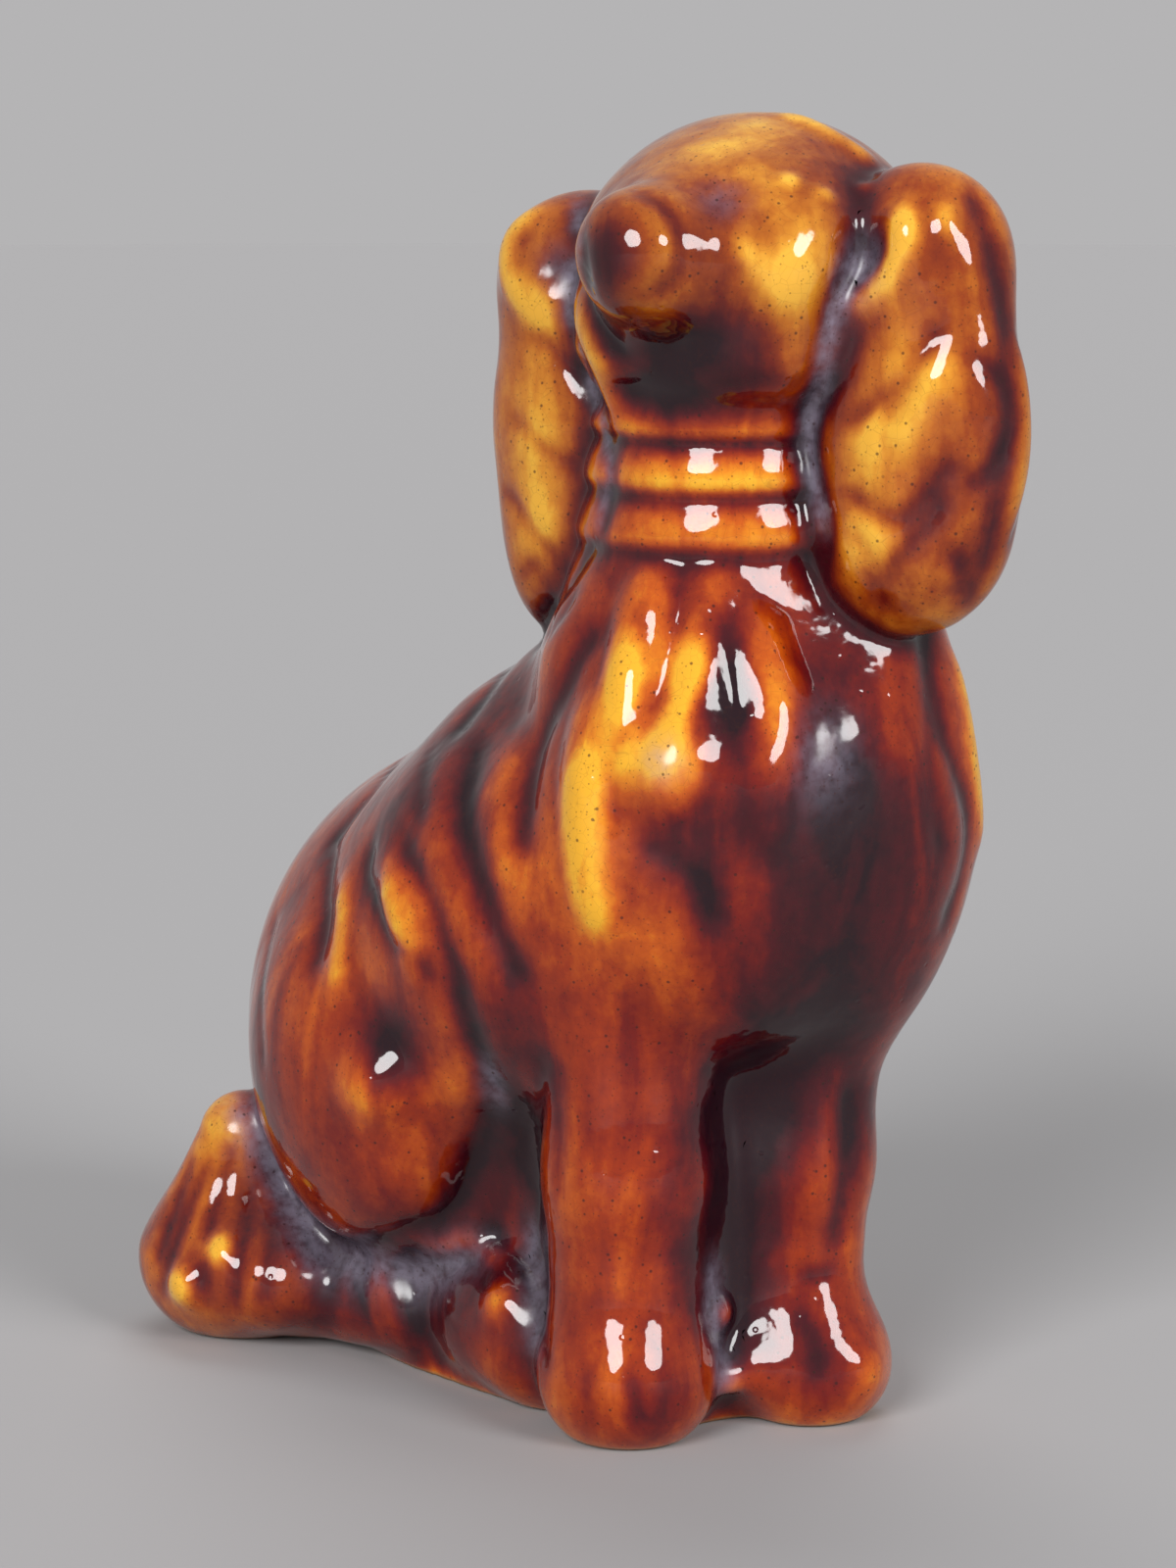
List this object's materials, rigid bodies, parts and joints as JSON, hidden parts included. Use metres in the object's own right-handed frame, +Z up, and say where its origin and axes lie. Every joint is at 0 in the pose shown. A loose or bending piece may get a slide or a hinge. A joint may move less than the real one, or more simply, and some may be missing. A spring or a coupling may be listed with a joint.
{
  "type": "seated spaniel figure",
  "caption": "Seated pottery spaniel in a brown running glaze, head turned, long ears, curled tail and hollow body on a vented slab.",
  "frame": {"origin": "middle of the footprint's box, on the plane that the figure stands on", "axes": "+Z up, -Y the way the dog's body faces, +X the dog's left"},
  "size_m": [0.0738, 0.1072, 0.1476],
  "materials": {
    "amber_glaze": "high gloss amber and brown running glaze",
    "brown_glaze": "high gloss brown running glaze",
    "ear_glaze": "high gloss amber glaze with dark specks",
    "leg_glaze": "high gloss red-brown glaze",
    "dark_glaze": "high gloss dark pooled glaze",
    "tail_glaze": "high gloss amber and brown glaze",
    "bare_clay": "unglazed buff clay"
  },
  "bodies": {
    "root": {"front_pressing": "amber_glaze", "back_pressing": "brown_glaze", "right_ear": "ear_glaze", "left_ear": "ear_glaze", "right_foreleg": "leg_glaze", "left_foreleg": "leg_glaze", "right_hind_foot": "dark_glaze", "left_hind_foot": "dark_glaze", "tail": "tail_glaze", "base_slab": "bare_clay", "seam_strip": "bare_clay"}
  },
  "joints": []
}
